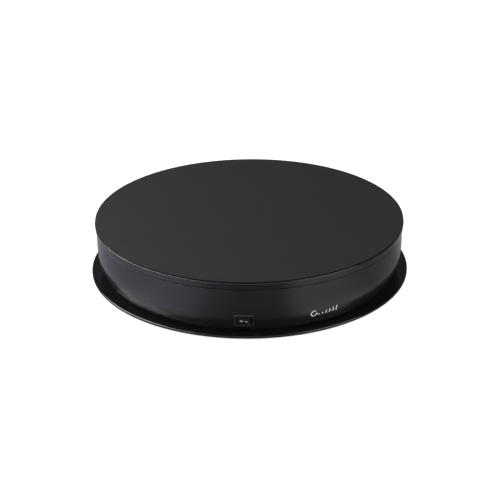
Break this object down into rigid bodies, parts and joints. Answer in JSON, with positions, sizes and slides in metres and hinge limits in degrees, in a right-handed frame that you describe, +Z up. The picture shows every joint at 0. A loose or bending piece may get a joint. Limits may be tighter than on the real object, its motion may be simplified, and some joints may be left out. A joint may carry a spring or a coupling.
{
  "type": "turntable display stand",
  "caption": "Round motorised display turntable: a flat platter on a ball race turns over a low flanged drum with a rocker switch at the front and a power inlet at the rear.",
  "frame": {"origin": "on the floor under the platter's centre", "axes": "+Z up along the platter's axis, the rocker switch faces -Y"},
  "size_m": [0.2588, 0.2588, 0.046],
  "materials": {
    "plate_gloss": "glossy black",
    "drum_black": "satin gloss black",
    "carrier_black": "satin gloss black",
    "panel_black": "satin charcoal",
    "foot_rubber": "matt",
    "screw_steel": "zinc plated",
    "race_steel": "pressed and hardened",
    "ball_steel": "polished",
    "shaft_steel": "ground",
    "brass": "turned",
    "gear_nylon": "natural nylon",
    "motor_steel": "zinc plated",
    "switch_black": "fine satin",
    "rocker_black": "gloss",
    "mark_white": "printed",
    "inlet_black": "moulded",
    "board_green": "solder mask",
    "component_black": "moulded",
    "capacitor_sleeve": "sleeve",
    "box_black": "moulded",
    "cell_wrap": "plain sleeve",
    "spring_steel": "nickel plated",
    "wire_red": "PVC",
    "wire_black": "PVC"
  },
  "bodies": {
    "base": {"base_plate": "plate_gloss", "rubber_feet": "foot_rubber", "base_screws": "screw_steel", "drum_housing": "drum_black", "lower_race": "race_steel", "centre_spindle": "shaft_steel", "thrust_washer": "brass", "retaining_washer": "screw_steel", "retaining_screw": "screw_steel", "gearbox_case": "motor_steel", "gearbox_cover": "motor_steel", "motor_can": "motor_steel", "motor_terminals": "brass", "motor_screws": "screw_steel", "gear_pin": "shaft_steel", "gear_clip": "spring_steel", "switch_housing": "switch_black", "switch_terminals": "brass", "power_inlet": "inlet_black", "inlet_pin": "brass", "circuit_board": "board_green", "board_capacitor": "capacitor_sleeve", "board_regulator": "component_black", "board_screws": "screw_steel", "battery_box": "box_black", "battery_box_screws": "screw_steel", "battery_cells": "cell_wrap", "battery_springs": "spring_steel", "battery_contacts": "spring_steel", "door_hinge_pin": "shaft_steel", "red_wires": "wire_red", "black_wires": "wire_black"},
    "platter": {"top_panel": "panel_black", "platter_carrier": "carrier_black", "ring_gear": "gear_nylon", "ring_gear_screws": "screw_steel", "upper_race": "race_steel", "hub_bush": "brass"},
    "ball_ring": {"ball_cage": "gear_nylon", "bearing_balls": "ball_steel"},
    "idler": {"compound_gear": "gear_nylon"},
    "motor_drive": {"motor_pinion": "brass", "output_shaft": "shaft_steel"},
    "rocker": {"switch_rocker": "rocker_black", "rocker_marks": "mark_white"},
    "door": {"battery_door": "plate_gloss"}
  },
  "joints": [
    {"name": "platter_spin", "type": "hinge", "parent": "base", "child": "platter", "pos_m": [0, 0, 0.039], "axis": [0, 0, 1], "continuous": true},
    {"name": "ball_ring_spin", "type": "hinge", "parent": "base", "child": "ball_ring", "pos_m": [0, 0, 0.039], "axis": [0, 0, 1], "continuous": true},
    {"name": "idler_spin", "type": "hinge", "parent": "base", "child": "idler", "pos_m": [-0.063, 0, 0.0385], "axis": [0, 0, 1], "continuous": true},
    {"name": "motor_spin", "type": "hinge", "parent": "base", "child": "motor_drive", "pos_m": [-0.039, 0, 0.0375], "axis": [0, 0, 1], "continuous": true},
    {"name": "rocker_tilt", "type": "hinge", "parent": "base", "child": "rocker", "pos_m": [0, -0.12172, 0.01378], "axis": [0, -0.2419, 0.9703], "range_deg": [0, 20]},
    {"name": "door_swing", "type": "hinge", "parent": "base", "child": "door", "pos_m": [0.03, 0, 0.0032], "axis": [0, 1, 0], "range_deg": [0, 95]}
  ],
  "couplings": [
    {"joint": "ball_ring_spin", "follows": "platter_spin", "ratio": 0.5},
    {"joint": "idler_spin", "follows": "platter_spin", "ratio": 7},
    {"joint": "motor_spin", "follows": "platter_spin", "ratio": -21}
  ]
}
